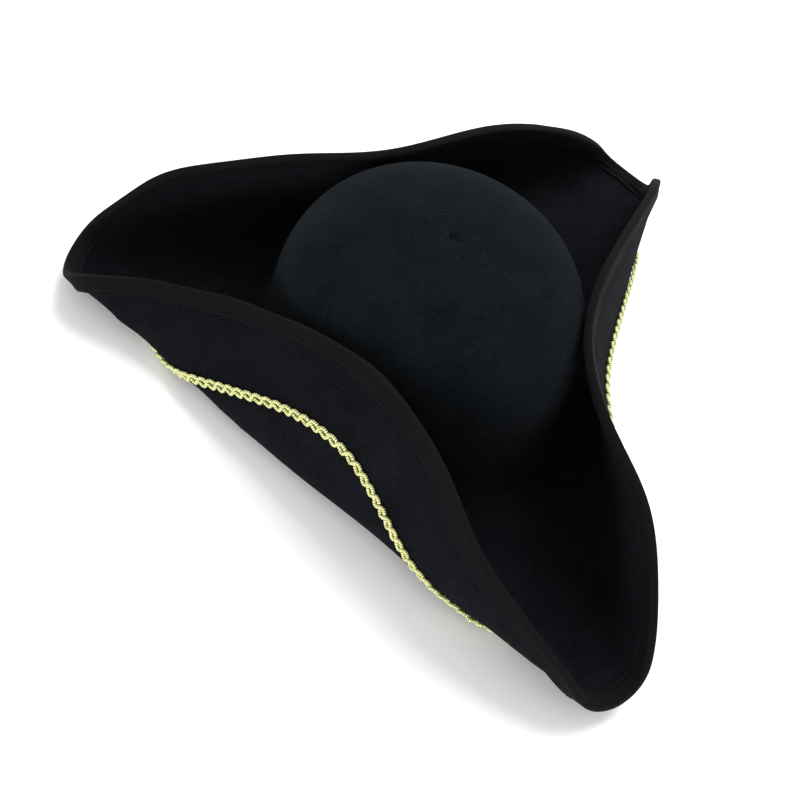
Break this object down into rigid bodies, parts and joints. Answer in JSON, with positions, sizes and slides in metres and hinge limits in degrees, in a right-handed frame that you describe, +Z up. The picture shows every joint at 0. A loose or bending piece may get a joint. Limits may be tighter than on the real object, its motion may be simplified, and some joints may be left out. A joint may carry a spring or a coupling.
{
  "type": "pirate hat",
  "caption": "Black felt tricorn pirate hat with a round crown, upturned brim, taped edge and gold braid, worn on the head.",
  "frame": {"origin": "centre of the head opening, on the plane the hat rests on", "axes": "+Z up towards the top of the crown; -Y towards the front corner of the brim; +X towards the wearer's left, along the longest extent"},
  "size_m": [0.4017, 0.3691, 0.1117],
  "materials": {
    "felt": "matte napped felt",
    "tape": "matte ribbed woven tape",
    "thread": "slightly glossy sewing thread",
    "gold": "pale metallic gold gimp braid",
    "lining": "satin lining",
    "band": "ribbed grosgrain",
    "label": "plain woven satin label"
  },
  "bodies": {
    "root": {"crown": "felt", "brim": "felt", "edge_binding": "tape", "binding_stitch_outer": "thread", "binding_stitch_inner": "thread", "gold_braid": "gold", "braid_stitch": "thread", "headline_stitch": "thread", "lining_side": "lining", "lining_tip": "lining", "lining_tip_tack": "thread", "sweatband": "band", "sweatband_end_tape": "band", "sweatband_stitch": "thread", "size_label": "label", "care_label": "label"}
  },
  "joints": []
}
